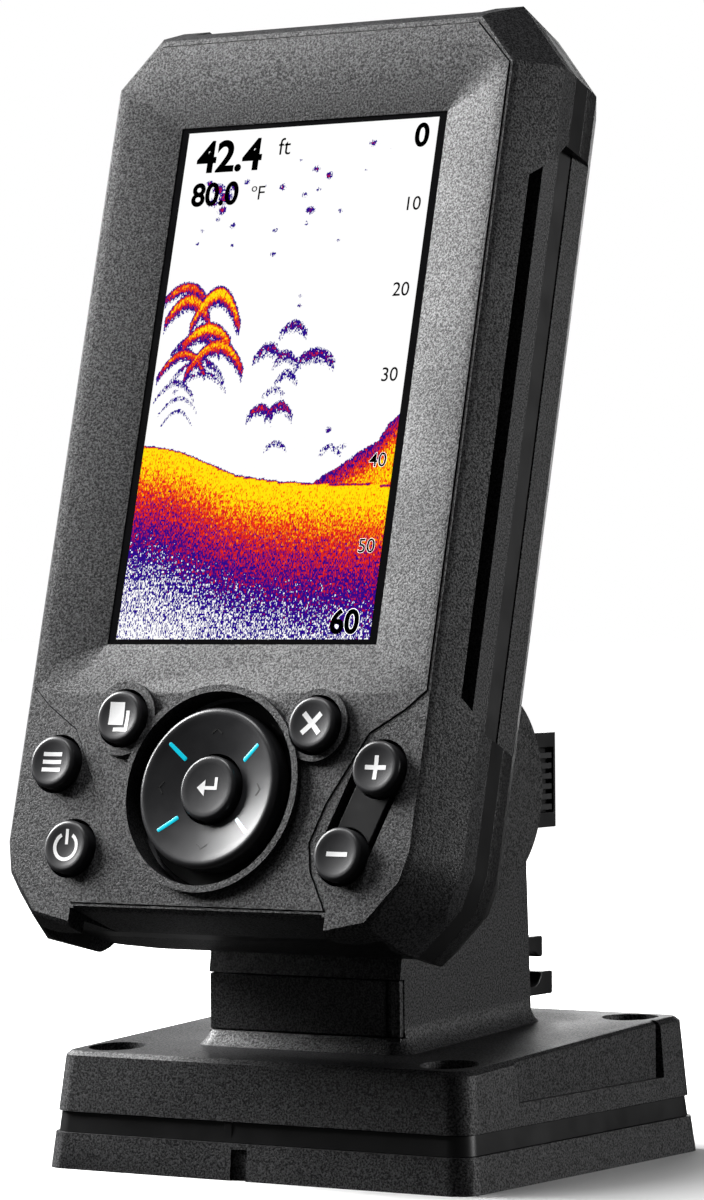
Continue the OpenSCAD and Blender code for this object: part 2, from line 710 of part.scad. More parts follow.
keypad_half = half_w - case_wall - 2;
module keypad_area(from, to) plate(both_sides([
    [keypad_half - 10.6, pad_v - 17.5], [keypad_half - 1.2, pad_v - 8],
    [keypad_half - 1.2, pad_v + 11], [keypad_half - 4.6, pad_v + 15.5], [8, pad_v + 18.6]
]), from, to);

module keypad_mat() color([0.62, 0.62, 0.64]) at_head() {
    keypad_area(mat_top, mat_top - mat_t);
    for (k = [KEY_MENU, KEY_POWER, KEY_PLUS, KEY_MINUS, KEY_PAGE, KEY_EXIT])
        translate([k.x, k.y, mat_top - 0.1]) cylinder(h = 0.6, r = 2.2);
}

module keypad_board() color([0.10, 0.30, 0.18]) at_head()
    keypad_area(mat_top - mat_t, mat_top - mat_t - board_t);

socket_v = 24;
socket_floor = 1.6;
module cable_socket() color([0.05, 0.05, 0.05]) at_head() translate([0, socket_v, BACK_W]) difference() {
    union() {
        cylinder(h = 4, r = socket_r + 1.6);
        translate([0, 0, -socket_depth + 4]) cylinder(h = socket_depth, r = socket_r + 1.5);
        translate([0, 0, 4]) cylinder(h = socket_floor, r = socket_r + 1.5);
    }
    translate([0, 0, -socket_depth]) cylinder(h = socket_depth + 4, r = socket_r);
    for (p = PINS) translate([p.x, p.y, 0]) cylinder(h = 20, r = 0.6);
}

PINS = concat([[0, 0]], [for (i = [0 : 6]) 4.2 * [cos(360 * i / 7), sin(360 * i / 7)]]);
module socket_pins() color([0.85, 0.70, 0.30]) at_head() for (p = PINS)
    translate([p.x, socket_v + p.y, BACK_W - 0.5]) cylinder(h = 4.5 + socket_floor, r = 0.6);

// ---- keys ----

// A round button from depth low to its rim at height rim, with a soft edge and a dished top
module button(r, low, rim) rotate_extrude() polygon([
    [0, low], [r, low], [r, rim - 0.7], [r - 0.25, rim - 0.2], [r - 0.7, rim],
    [0.7 * r, rim - 0.12], [0.4 * r, rim - 0.32], [0, rim - 0.42]
]);

// A round key with a flange that holds it in
module round_key(at, proud) at_head() translate([at.x, at.y, 0]) {
    translate([0, 0, flange_top - flange_t]) cylinder(h = flange_t, r = flange_r);
    button(key_r, flange_top - flange_t, proud);
}

module key_menu() color([0.07, 0.07, 0.08]) round_key(KEY_MENU, key_proud);
module key_power() color([0.07, 0.07, 0.08]) round_key(KEY_POWER, key_proud);
module key_plus() color([0.07, 0.07, 0.08]) round_key(KEY_PLUS, key_proud);
module key_minus() color([0.07, 0.07, 0.08]) round_key(KEY_MINUS, key_proud);
module key_page() color([0.07, 0.07, 0.08]) round_key(KEY_PAGE, key_proud + 0.7);
module key_exit() color([0.07, 0.07, 0.08]) round_key(KEY_EXIT, key_proud + 0.7);

// The pad rocks on a gimbal: the gimbal about u, and the ring on it about v
gimbal_top = -fascia_t - 0.5;
module pad_gimbal() color([0.03, 0.03, 0.03]) at_head() translate([0, pad_v, 0]) difference() {
    union() {
        translate([0, 0, gimbal_top - 1.4]) cylinder(h = 1.4, r = well_r - 0.5);
        for (s = [-1, 1]) translate([0, 0, gimbal_top - 1.45])
            x_rod(s * rod_in, s * 13, 0.8);
    }
    translate([0, 0, -20]) cylinder(h = 30, r = enter_r + 1.6);
}

ring_low = gimbal_top + (pad_r - 1) * sin(pad_rock) + 0.3;
ring_proud = 1.6;
module pad_ring() color([0.08, 0.08, 0.09]) at_head() translate([0, pad_v, 0]) difference() {
    union() {
        // a dished ring with a round lip
        rotate_extrude() polygon([
            [dish_in, ring_low], [pad_r - 1, ring_low], [pad_r, ring_low + 1.2],
            [pad_r, ring_proud - 0.9], [pad_r - 0.5, ring_proud - 0.2], [pad_r - 1.1, ring_proud],
            [pad_r - 1.8, ring_proud - 0.2], [dish_in, dish_low]
        ]);
        for (s = [-1, 1]) translate([0, 0, ring_low]) rotate([0, 0, 90]) x_rod(s * rod_in, s * 12, 0.85);
    }
    light_bars(0.05);
}

// Four light bars on the pad's diagonals, tilted to lie in the dish
dish_in = enter_r + 0.35;
dish_low = ring_proud - 1.7;
dish_slope = atan((ring_proud - 0.2 - dish_low) / (pad_r - 1.8 - dish_in));
bar_at = (pad_r + enter_r) / 2;
module light_bars(extra) for (a = [40, 140, 220, 320]) rotate([0, 0, a])
    translate([bar_at, 0, dish_low + (bar_at - dish_in) * tan(dish_slope)]) rotate([0, -dish_slope, 0])
        translate([-2.4 - extra, -0.55 - extra, -0.8 - extra]) cube([4.8 + 2 * extra, 1.1 + 2 * extra, 0.83 + 2 * extra]);

module pad_lights() color([0.10, 0.75, 0.85]) at_head() translate([0, pad_v, 0]) light_bars(0);

// The enter key, with a flange under the pad ring that holds it in
enter_low = mat_top + key_stroke + SLIDE;
module key_enter() color([0.07, 0.07, 0.08]) at_head() translate([0, pad_v, 0]) {
    translate([0, 0, enter_low]) cylinder(h = flange_t, r = enter_r + 1.1);
    button(enter_r, enter_low, ring_proud);
}

base_plate();
glide_band();
swivel_bolt();
swivel_washer();
swivel_nut();
swivel_housing();
column_cover();
cable_clip();
release_left();
release_right();
grip_pad_left();
grip_pad_right();
release_spring();
front_housing();
middle_frame();
rear_cover();
tilt_washers();
case_screws();
case_gasket();
fascia();
screen_lens();
display_module();
light_tray();
display_flex();
main_board();
processor_shield();
buzzer();
keypad_board();
keypad_mat();
cable_socket();
socket_pins();
key_menu();
key_power();
key_page();
key_exit();
key_plus();
key_minus();
zoom_bridge();
pad_gimbal();
pad_ring();
pad_lights();
key_enter();
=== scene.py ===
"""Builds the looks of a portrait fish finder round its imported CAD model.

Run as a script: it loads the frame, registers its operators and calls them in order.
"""

import json
import math
import random

import bpy
from mathutils import Matrix, Vector


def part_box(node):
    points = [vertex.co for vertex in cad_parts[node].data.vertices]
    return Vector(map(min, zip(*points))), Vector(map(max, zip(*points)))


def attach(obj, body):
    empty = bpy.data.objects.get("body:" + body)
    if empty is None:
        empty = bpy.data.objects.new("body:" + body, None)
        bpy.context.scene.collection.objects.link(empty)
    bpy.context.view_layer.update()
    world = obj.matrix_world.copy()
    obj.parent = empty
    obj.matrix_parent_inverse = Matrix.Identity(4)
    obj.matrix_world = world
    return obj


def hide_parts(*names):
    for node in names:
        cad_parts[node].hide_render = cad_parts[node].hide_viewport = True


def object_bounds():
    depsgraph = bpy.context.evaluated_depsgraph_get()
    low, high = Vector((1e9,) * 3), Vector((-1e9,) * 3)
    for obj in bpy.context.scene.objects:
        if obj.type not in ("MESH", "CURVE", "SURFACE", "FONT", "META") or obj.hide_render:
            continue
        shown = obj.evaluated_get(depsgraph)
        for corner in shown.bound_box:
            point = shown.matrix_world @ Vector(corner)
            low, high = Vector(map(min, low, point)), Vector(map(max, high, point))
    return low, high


bl_info = {
    "name": "Fish Finder Looks",
    "version": (1, 0, 0),
    "blender": (4, 5, 0),
    "location": "3D View > Sidebar > Fish Finder",
    "description": "Models and finishes the pieces of a portrait fish finder",
    "category": "Object",
}

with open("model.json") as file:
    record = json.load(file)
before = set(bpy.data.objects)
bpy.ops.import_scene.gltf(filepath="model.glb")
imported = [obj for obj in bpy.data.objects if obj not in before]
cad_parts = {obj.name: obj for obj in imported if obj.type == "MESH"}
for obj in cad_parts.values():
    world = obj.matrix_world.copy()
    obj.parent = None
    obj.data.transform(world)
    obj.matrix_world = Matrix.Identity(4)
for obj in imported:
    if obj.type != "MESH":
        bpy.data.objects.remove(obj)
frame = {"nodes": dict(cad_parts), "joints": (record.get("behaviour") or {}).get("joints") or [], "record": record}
CAD_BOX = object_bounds()
MM = 0.001

# The head's own axes: RIGHT across the display, UP along it and OUT of it
JOINTS = {joint["name"]: joint for joint in frame["joints"]}
RIGHT = Vector((1, 0, 0))
OUT = -Vector(JOINTS["press_menu"]["axis"]).normalized()
UP = OUT.cross(RIGHT)


def span(node, axis):
    """Lowest and highest place of a CAD node along an axis."""
    along = [vertex.co.dot(axis) for vertex in frame["nodes"][node].data.vertices]
    return min(along), max(along)


def middle(node, axis):
    """Middle of a CAD node along an axis."""
    low, high = span(node, axis)
    return (low + high) / 2


def head_matrix(face_above_lens):
    """Places head coordinates: the origin is the display's centre in the plane of the bezel's face."""
    origin = (
        RIGHT * middle("screen_lens", RIGHT)
        + UP * middle("screen_lens", UP)
        + OUT * (span("screen_lens", OUT)[1] + face_above_lens)
    )
    turn = Matrix((RIGHT, UP, OUT)).transposed().to_4x4()
    return Matrix.Translation(origin) @ turn


FACE_ABOVE_LENS = 2.4 * MM
HEAD = head_matrix(FACE_ABOVE_LENS)


def in_head(node):
    """Centre of a CAD node in head coordinates."""
    centre = RIGHT * middle(node, RIGHT) + UP * middle(node, UP) + OUT * middle(node, OUT)
    return HEAD.inverted() @ centre


# ---- settings -------------------------------------------------------------------------------


class FishFinderLooks(bpy.types.PropertyGroup):
    """Sizes and colours that a user would change."""

    case_colour: bpy.props.FloatVectorProperty(
        name="Case colour", description="Moulded case and bracket", subtype="COLOR",
        size=3, min=0, max=1, default=(0.019, 0.019, 0.0205))
    cover_colour: bpy.props.FloatVectorProperty(
        name="Rear cover colour", description="Smooth rear cover and tilt cheeks", subtype="COLOR",
        size=3, min=0, max=1, default=(0.010, 0.010, 0.0105))
    key_colour: bpy.props.FloatVectorProperty(
        name="Key colour", description="Keys and direction pad", subtype="COLOR",
        size=3, min=0, max=1, default=(0.022, 0.022, 0.024))
    glow_colour: bpy.props.FloatVectorProperty(
        name="Light bar colour", description="Light bars of the direction pad", subtype="COLOR",
        size=3, min=0, max=1, default=(0.0, 0.52, 0.68))
    grain_size: bpy.props.FloatProperty(
        name="Grain size", description="Width of one grain of the moulded texture",
        subtype="DISTANCE", unit="LENGTH", default=0.36 * MM, min=0.1 * MM, max=2 * MM)
    edge_radius: bpy.props.FloatProperty(
        name="Edge radius", description="Radius on the moulded edges",
        subtype="DISTANCE", unit="LENGTH", default=0.35 * MM, min=0.05 * MM, max=1 * MM)
    camera_azimuth: bpy.props.FloatProperty(
        name="Camera azimuth", description="Camera's angle round the object from straight ahead",
        subtype="ANGLE", default=math.radians(33.14))
    camera_elevation: bpy.props.FloatProperty(
        name="Camera elevation", description="Camera's angle above the horizon",
        subtype="ANGLE", default=math.radians(0.23))
    camera_roll: bpy.props.FloatProperty(
        name="Camera roll", description="Camera's turn about its own line of sight",
        subtype="ANGLE", default=math.radians(-0.45))
    camera_distance: bpy.props.FloatProperty(
        name="Camera distance", description="Distance from the camera to its target",
        subtype="DISTANCE", unit="LENGTH", default=0.8595)
    camera_lens: bpy.props.FloatProperty(
        name="Camera focal length", description="Focal length of the camera",
        default=147.5, min=20, max=300)


def looks():
    return bpy.context.scene.fish_finder_looks


# ---- materials ------------------------------------------------------------------------------


class Graph:
    """A material and short ways to add nodes to it."""

    def __init__(self, name):
        self.material = bpy.data.materials.new(name)
        self.material.use_nodes = True
        self.tree = self.material.node_tree
        self.shader = self.tree.nodes["Principled BSDF"]

    def add(self, kind, **settings):
        node = self.tree.nodes.new(kind)
        for key, value in settings.items():
            setattr(node, key, value)
        return node

    def link(self, out, into):
        self.tree.links.new(out, into)

    def set(self, **values):
        for key, value in values.items():
            self.shader.inputs[key.replace("_", " ")].default_value = value

    def place(self):
        """Object coordinates, one for the whole material."""
        if not hasattr(self, "coords"):
            self.coords = self.add("ShaderNodeTexCoord").outputs["Object"]
        return self.coords

    def noise(self, size, detail=2.0, roughness=0.5):
        node = self.add("ShaderNodeTexNoise")
        node.inputs["Scale"].default_value = 1 / size
        node.inputs["Detail"].default_value = detail
        node.inputs["Roughness"].default_value = roughness
        self.link(self.place(), node.inputs["Vector"])
        return node.outputs["Fac"]

    def spread(self, value, low, high, to_low, to_high):
        node = self.add("ShaderNodeMapRange")
        for socket, number in zip(node.inputs[1:5], (low, high, to_low, to_high)):
            socket.default_value = number
        self.link(value, node.inputs["Value"])
        return node.outputs["Result"]

    def mix(self, fac, a, b):
        node = self.add("ShaderNodeMix", data_type="RGBA")
        self.link(fac, node.inputs["Factor"])
        for socket, colour in ((node.inputs[6], a), (node.inputs[7], b)):
            if hasattr(colour, "is_linked"):
                self.link(colour, socket)
            else:
                socket.default_value = (*colour[:3], 1)
        return node.outputs[2]

    def bump(self, height, distance, strength=1.0, under=None):
        node = self.add("ShaderNodeBump")
        node.inputs["Distance"].default_value = distance
        node.inputs["Strength"].default_value = strength
        self.link(height, node.inputs["Height"])
        if under is not None:
            self.link(under, node.inputs["Normal"])
        return node.outputs["Normal"]


def darker(colour, share):
    """A share of a colour, which may also be above 1."""
    return tuple(channel * share for channel in colour[:3])


def spark_plastic(name, colour, grain, depth=0.09 * MM, gloss=0.5):
    """Moulded plastic with a spark-eroded grain: fine pits and soft wear, with painted light on the grain, its
    crests painted lighter as painted highlight and its pits painted darker as painted shade.
    """
    graph = Graph(name)
    fine = graph.noise(grain, detail=3, roughness=0.62)
    coarse = graph.noise(grain * 2.3, detail=2)
    # the grain's colour follows its bump height: painted highlight on the crests, painted shade in the pits
    crest_highlight_pit_shade = graph.spread(fine, 0.42, 0.68, 0, 1)
    tone = graph.mix(crest_highlight_pit_shade, darker(colour, 0.35), darker(colour, 2.1))
    smear = graph.spread(graph.noise(22 * MM, detail=4), 0.35, 0.7, gloss - 0.05, gloss + 0.08)
    graph.link(tone, graph.shader.inputs["Base Color"])
    graph.link(smear, graph.shader.inputs["Roughness"])
    glint = graph.spread(fine, 0.40, 0.62, 0.18, 0.95)
    graph.link(glint, graph.shader.inputs["Specular IOR Level"])
    normal = graph.bump(coarse, depth * 0.4, 0.3)
    normal = graph.bump(fine, depth, 1.0, normal)
    graph.link(normal, graph.shader.inputs["Normal"])
    graph.set(IOR=1.5)
    return graph.material


def satin_plastic(name, colour, gloss=0.34):
    """Smooth moulded plastic: a faint ripple, handling marks and very fine haze."""
    graph = Graph(name)
    marks = graph.noise(9 * MM, detail=5, roughness=0.6)
    haze = graph.noise(0.25 * MM, detail=2)
    tone = graph.mix(graph.spread(marks, 0.35, 0.7, 0, 1), darker(colour, 0.9), darker(colour, 1.12))
    graph.link(tone, graph.shader.inputs["Base Color"])
    graph.link(graph.spread(marks, 0.3, 0.75, gloss - 0.04, gloss + 0.07), graph.shader.inputs["Roughness"])
    graph.link(graph.bump(haze, 0.006 * MM, 0.6), graph.shader.inputs["Normal"])
    graph.set(IOR=1.5)
    return graph.material


def rubber(name, colour):
    """Matte rubber with a dusty bloom."""
    graph = Graph(name)
    bloom = graph.noise(1.6 * MM, detail=4, roughness=0.7)
    graph.link(graph.mix(bloom, darker(colour, 0.8), darker(colour, 1.25)), graph.shader.inputs["Base Color"])
    graph.link(graph.spread(bloom, 0.3, 0.7, 0.62, 0.8), graph.shader.inputs["Roughness"])
    graph.link(graph.bump(graph.noise(0.3 * MM), 0.02 * MM, 0.5), graph.shader.inputs["Normal"])
    return graph.material


def metal(name, colour, gloss=0.3):
    """Machined or drawn metal with fine lines and slight stain."""
    graph = Graph(name)
    stretch = graph.add("ShaderNodeMapping")
    stretch.inputs["Scale"].default_value = (1, 1, 14)
    graph.link(graph.place(), stretch.inputs["Vector"])
    lines = graph.noise(0.5 * MM, detail=3)
    graph.link(stretch.outputs["Vector"], lines.node.inputs["Vector"])
    stain = graph.noise(5 * MM, detail=3)
    graph.link(graph.mix(stain, darker(colour, 0.8), colour), graph.shader.inputs["Base Color"])
    graph.link(graph.spread(lines, 0.3, 0.7, gloss - 0.06, gloss + 0.1), graph.shader.inputs["Roughness"])
    graph.link(graph.bump(lines, 0.01 * MM, 0.5), graph.shader.inputs["Normal"])
    graph.set(Metallic=1.0)
    return graph.material


def printed_white(name, colour=(0.82, 0.82, 0.82)):
    """Key legend ink: slightly uneven and faintly lit from behind."""
    graph = Graph(name)
    ink = graph.noise(0.2 * MM, detail=3)
    graph.link(graph.mix(ink, darker(colour, 0.92), colour), graph.shader.inputs["Base Color"])
    graph.set(Roughness=0.45, Emission_Color=(*colour, 1), Emission_Strength=0.25)
    return graph.material


def circuit(name):
    """Green circuit board with traces under the lacquer."""
    graph = Graph(name)
    cells = graph.add("ShaderNodeTexVoronoi", feature="DISTANCE_TO_EDGE", distance="MANHATTAN")
    cells.inputs["Scale"].default_value = 1 / (3.2 * MM)
    graph.link(graph.place(), cells.inputs["Vector"])
    trace = graph.spread(cells.outputs["Distance"], 0.04, 0.07, 1, 0)
    graph.link(graph.mix(trace, (0.008, 0.075, 0.03), (0.03, 0.17, 0.07)), graph.shader.inputs["Base Color"])
    graph.link(graph.bump(trace, 0.03 * MM), graph.shader.inputs["Normal"])
    graph.set(Roughness=0.3)
    return graph.material


# ---- modelling helpers ----------------------------------------------------------------------


def only(piece):
    """Deselects everything and makes one object the active, selected one."""
    bpy.ops.object.select_all(action="DESELECT")
    piece.select_set(True)
    bpy.context.view_layer.objects.active = piece


def apply_modifier(piece, kind, **settings):
    """Adds a modifier and applies it."""
    only(piece)
    modifier = piece.modifiers.new(kind.title(), kind)
    for key, value in settings.items():
        setattr(modifier, key, value)
    bpy.ops.object.modifier_apply(modifier=modifier.name)


def smooth(piece, degrees=32):
    """Shades a piece smooth where its faces meet at less than an angle."""
    only(piece)
    bpy.ops.object.shade_smooth_by_angle(angle=math.radians(degrees))


def face_outwards(piece):
    """Turns every face of a closed mesh outwards."""
    only(piece)
    bpy.ops.object.mode_set(mode="EDIT")
    bpy.ops.mesh.select_all(action="SELECT")
    bpy.ops.mesh.normals_make_consistent(inside=False)
    bpy.ops.object.mode_set(mode="OBJECT")


def dress(piece, material, body, replaces=()):
    """Gives a finished piece its material and its body, and hides the CAD nodes that it stands for."""
    piece.data.materials.clear()
    piece.data.materials.append(material)
    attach(piece, body)
    if replaces:
        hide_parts(*replaces)
    return piece


def body_of_node(node):
    """The body that a CAD node belongs to."""
    bodies = frame["record"]["behaviour"]["bodies"]
    return next(body for body, nodes in bodies.items() if node in nodes)


def soften(node, material, radius, segments=3, degrees=28):
    """A copy of a CAD node's shell, welded and cleaned, with its edges rounded; it replaces the node."""
    source = frame["nodes"][node]
    mesh = source.data.copy()
    piece = bpy.data.objects.new(node + "_shell", mesh)
    bpy.context.collection.objects.link(piece)
    only(piece)
    bpy.ops.object.mode_set(mode="EDIT")
    bpy.ops.mesh.select_all(action="SELECT")
    bpy.ops.mesh.remove_doubles(threshold=0.02 * MM)
    bpy.ops.mesh.dissolve_limited(angle_limit=math.radians(1.2))
    bpy.ops.object.mode_set(mode="OBJECT")
    apply_modifier(
        piece, "BEVEL", width=radius, segments=segments, limit_method="ANGLE",
        angle_limit=math.radians(degrees), use_clamp_overlap=True, miter_outer="MITER_ARC")
    smooth(piece, 34)
    apply_modifier(piece, "WEIGHTED_NORMAL", keep_sharp=True, weight=60)
    return dress(piece, material, body_of_node(node), [node])


def finish_node(node, material):
    """Gives a CAD node that keeps its own shape a material."""
    data = frame["nodes"][node].data
    data.materials.clear()
    data.materials.append(material)


def start_chain(points):
    """Starts a mesh with a chain of edges through points given in millimetres, left in edit mode."""
    bpy.ops.object.select_all(action="DESELECT")
    bpy.ops.mesh.primitive_plane_add(size=MM)
    piece = bpy.context.object
    bpy.ops.object.mode_set(mode="EDIT")
    bpy.ops.mesh.select_all(action="SELECT")
    bpy.ops.mesh.merge(type="CENTER")
    last = Vector((0, 0, 0))
    for number, point in enumerate(points):
        step = Vector(point) * MM - last
        last = Vector(point) * MM
        if number == 0:
            bpy.ops.transform.translate(value=step)
        else:
            bpy.ops.mesh.extrude_region_move(TRANSFORM_OT_translate={"value": step})
    bpy.ops.mesh.select_all(action="SELECT")
    return piece


def turned(name, profile, steps=72):
    """A solid turned about Z from a profile of (radius, height) in millimetres."""
    piece = start_chain([(radius, 0, height) for radius, height in profile])
    piece.name = name
    bpy.ops.mesh.spin(steps=steps, angle=2 * math.pi, center=(0, 0, 0), axis=(0, 0, 1))
    bpy.ops.mesh.select_all(action="SELECT")
    bpy.ops.mesh.remove_doubles(threshold=0.003 * MM)
    bpy.ops.mesh.normals_make_consistent(inside=False)
    bpy.ops.object.mode_set(mode="OBJECT")
    smooth(piece, 40)
    return piece


def bar(width, height, x=0, y=0, turn=0):
    """A flat bar in millimetres, finely divided so that it can be laid on a dish."""
    bpy.ops.object.select_all(action="DESELECT")
    bpy.ops.mesh.primitive_plane_add(size=MM)
    piece = bpy.context.object
    bpy.ops.object.mode_set(mode="EDIT")
    bpy.ops.mesh.subdivide(number_cuts=5)
    bpy.ops.mesh.select_all(action="SELECT")
    bpy.ops.transform.resize(value=(width, height, 1))
    if turn:
        bpy.ops.transform.rotate(value=-math.radians(turn), orient_axis="Z", center_override=(0, 0, 0))
    bpy.ops.transform.translate(value=(x * MM, y * MM, 0))
    bpy.ops.object.mode_set(mode="OBJECT")
    return piece


def arc(inner, outer, start, sweep):
    """A flat ring segment in millimetres and degrees."""
    a = math.radians(start)
    piece = start_chain([
        (radius * math.cos(a), radius * math.sin(a), 0) for radius in (inner, (inner + outer) / 2, outer)])
    bpy.ops.mesh.spin(steps=40, angle=math.radians(sweep), center=(0, 0, 0), axis=(0, 0, 1))
    bpy.ops.object.mode_set(mode="OBJECT")
    return piece


def arrow_head(tip_x, base_x, half):
    """A flat triangle that points along -X."""
    piece = start_chain([(base_x, half, 0), (base_x, -half, 0)])
    bpy.ops.mesh.extrude_region_move(TRANSFORM_OT_translate={"value": ((tip_x - base_x) * MM, 0, 0)})
    bpy.ops.transform.resize(value=(1, 0, 1), center_override=(tip_x * MM, 0, 0))
    bpy.ops.mesh.select_all(action="SELECT")
    bpy.ops.mesh.remove_doubles(threshold=0.01 * MM)
    bpy.ops.mesh.subdivide(number_cuts=4)
    bpy.ops.object.mode_set(mode="OBJECT")
    return piece


def join(name, pieces):
    """Joins pieces into one object with a name."""
    bpy.ops.object.select_all(action="DESELECT")
    for piece in pieces:
        piece.select_set(True)
    bpy.context.view_layer.objects.active = pieces[0]
    if len(pieces) > 1:
        bpy.ops.object.join()
    pieces[0].name = name
    return pieces[0]


def lay_on(piece, surface, thickness=0.05 * MM):
    """Lays a flat piece on the surface under it and gives it the thickness of a print."""
    only(piece)
    bpy.ops.object.mode_set(mode="EDIT")
    bpy.ops.mesh.select_all(action="SELECT")
    bpy.ops.mesh.normals_make_consistent(inside=False)
    bpy.ops.transform.translate(value=(0, 0, 12 * MM))
    bpy.ops.object.mode_set(mode="OBJECT")
    apply_modifier(
        piece, "SHRINKWRAP", wrap_method="PROJECT", use_project_z=True, use_negative_direction=True,
        use_positive_direction=False, target=surface, offset=0.02 * MM)
    apply_modifier(piece, "SOLIDIFY", thickness=thickness, offset=0)
    face_outwards(piece)
    return piece


def place_in_head(piece, u, v, w=0.0):
    """Moves a finished mesh from its own origin to head coordinates in metres."""
    piece.data.transform(HEAD @ Matrix.Translation((u, v, w)))
    return piece


def depth_of(node):
    """Lowest and highest place of a CAD node along the head's outward axis, in millimetres."""
    base = HEAD.translation.dot(OUT)
    return [(place - base) / MM for place in span(node, OUT)]


def dish(radius, top, depth, rings=7):
    """Profile points of a dished top from its lip to its centre."""
    return [
        (radius * (1 - i / rings), top - depth * (1 - (1 - i / rings) ** 2))
        for i in range(1, rings + 1)]


def lip(radius, top, size, steps=5):
    """Profile points of a rounded lip from the side wall up to the top."""
    return [
        (radius - size * (1 - math.cos(turn)), top - size * (1 - math.sin(turn)))
        for turn in (math.pi / 2 * i / steps for i in range(steps + 1))]


# ---- operators ------------------------------------------------------------------------------


# Where the camera looks, in metres: right, back, and up from the foot
CAMERA_TARGET = (0.0182, -0.0347, 0.1022)
# (name, degrees round from straight ahead, degrees up, metres away, metres across, watts)
LIGHTS = (
    ("left_softbox", -82, 30, 0.8, 0.50, 22),
    ("top_softbox", -25, 70, 0.8, 0.36, 4),
    ("right_strip", 118, 8, 0.9, 0.30, 3.2),
    ("rim_light", 205, 6, 0.9, 0.40, 1.8),
)
AMBIENT = 0.05
FLOOR_FADE = (0.06, 0.15)


class FISHFINDER_OT_stage(bpy.types.Operator):
    """Set the floor, the soft lights and the camera"""

    bl_idname = "fish_finder.stage"
    bl_label = "Stage"

    def execute(self, context):
        settings = looks()
        low, high = CAD_BOX
        height = high.z - low.z
        bpy.ops.object.select_all(action="DESELECT")
        bpy.ops.mesh.primitive_plane_add(size=60 * height, location=(0, 0, low.z))
        floor = context.object
        floor.name = "floor"
        graph = Graph("pale_floor")
        shade = graph.noise(0.4, detail=2)
        pale = graph.mix(shade, (0.86, 0.86, 0.86), (0.90, 0.90, 0.90))
        graph.link(pale, graph.shader.inputs["Base Color"])
        # away from the object the floor fades into the white behind it
        reach = graph.add("ShaderNodeVectorMath", operation="LENGTH")
        graph.link(graph.place(), reach.inputs[0])
        fade = graph.spread(reach.outputs["Value"], *FLOOR_FADE, 0, 1)
        seen = graph.add("ShaderNodeLightPath")
        graph.link(graph.mix(fade, (0, 0, 0), (1, 1, 1)), graph.shader.inputs["Emission Color"])
        graph.link(seen.outputs["Is Camera Ray"], graph.shader.inputs["Emission Strength"])
        graph.set(Roughness=0.9)
        floor.data.materials.append(graph.material)
        # the floor shows the object's shadow and sends no light back up on it
        floor.visible_diffuse = False
        floor.visible_glossy = False

        azimuth, elevation = settings.camera_azimuth, settings.camera_elevation
        back = Vector((
            math.sin(azimuth) * math.cos(elevation),
            -math.cos(azimuth) * math.cos(elevation),
            math.sin(elevation)))
        side = Vector((math.cos(azimuth), math.sin(azimuth), 0))
        top = back.cross(side)
        right = side * math.cos(settings.camera_roll) + top * math.sin(settings.camera_roll)
        above = back.cross(right)
        target = Vector((CAMERA_TARGET[0], CAMERA_TARGET[1], low.z + CAMERA_TARGET[2]))
        camera_data = bpy.data.cameras.new("camera")
        camera_data.lens = settings.camera_lens
        camera_data.clip_start = 0.01
        camera = bpy.data.objects.new("camera", camera_data)
        context.collection.objects.link(camera)
        turn = Matrix((right, above, back)).transposed().to_4x4()
        camera.matrix_world = Matrix.Translation(target + back * settings.camera_distance) @ turn
        context.scene.camera = camera

        world = bpy.data.worlds.new("soft_white")
        world.use_nodes = True
        tree = world.node_tree
        background = tree.nodes["Background"]
        seen = tree.nodes.new("ShaderNodeLightPath")
        level = tree.nodes.new("ShaderNodeMapRange")
        level.inputs["To Min"].default_value = AMBIENT
        level.inputs["To Max"].default_value = 1.0
        tree.links.new(seen.outputs["Is Camera Ray"], level.inputs["Value"])
        tree.links.new(level.outputs["Result"], background.inputs["Strength"])
        background.inputs["Color"].default_value = (1, 1, 1, 1)
        context.scene.world = world

        middle_of = (low + high) / 2
        for name, azimuth_deg, elevation_deg, distance, size, power in LIGHTS:
            self.add_light(context, name, middle_of, azimuth_deg, elevation_deg, distance, size, power)
        context.scene.view_settings.view_transform = "Standard"
        return {"FINISHED"}

    @staticmethod
    def add_light(context, name, target, azimuth, elevation, distance, size, power):
        data = bpy.data.lights.new(name, "AREA")
        data.shape = "DISK"
        data.size = size
        data.energy = power
        lamp = bpy.data.objects.new(name, data)
        lamp.visible_camera = False
        context.collection.objects.link(lamp)
        a, e = math.radians(azimuth), math.radians(elevation)
        away = Vector((math.sin(a) * math.cos(e), -math.cos(a) * math.cos(e), math.sin(e)))
        lamp.location = target + away * distance
        lamp.rotation_euler = away.to_track_quat("Z", "Y").to_euler()


class FISHFINDER_OT_shells(bpy.types.Operator):
    """Round the edges of the moulded shells and give them their finishes"""

    bl_idname = "fish_finder.shells"
    bl_label = "Moulded shells"

    def execute(self, context):
        settings = looks()
        case = spark_plastic("case_grain", settings.case_colour, settings.grain_size)
        smooth_black = satin_plastic("smooth_black", (0.006, 0.006, 0.0065))
        cover = spark_plastic("cover_grain", settings.cover_colour, settings.grain_size, gloss=0.42)
        radius = settings.edge_radius
        for node, material, width in (
            ("fascia", case, radius),
            ("front_housing", case, 0.4 * radius),
            ("middle_frame", smooth_black, radius),
            ("rear_cover", cover, radius),
            ("swivel_housing", case, radius),
            ("column_cover", case, radius),
            ("base_plate", case, radius),
            ("glide_band", smooth_black, 0.5 * radius),
            ("cable_clip", smooth_black, radius),
            ("release_left", smooth_black, radius),
            ("release_right", smooth_black, radius),
            ("cable_socket", smooth_black, 0.5 * radius),
            ("zoom_bridge", smooth_black, 0.5 * radius),
            ("pad_gimbal", smooth_black, 0.5 * radius),
        ):
            soften(node, material, width)
        return {"FINISHED"}


def legend_menu():
    return [bar(4.0, 0.72, y=y) for y in (1.4, 0, -1.4)]


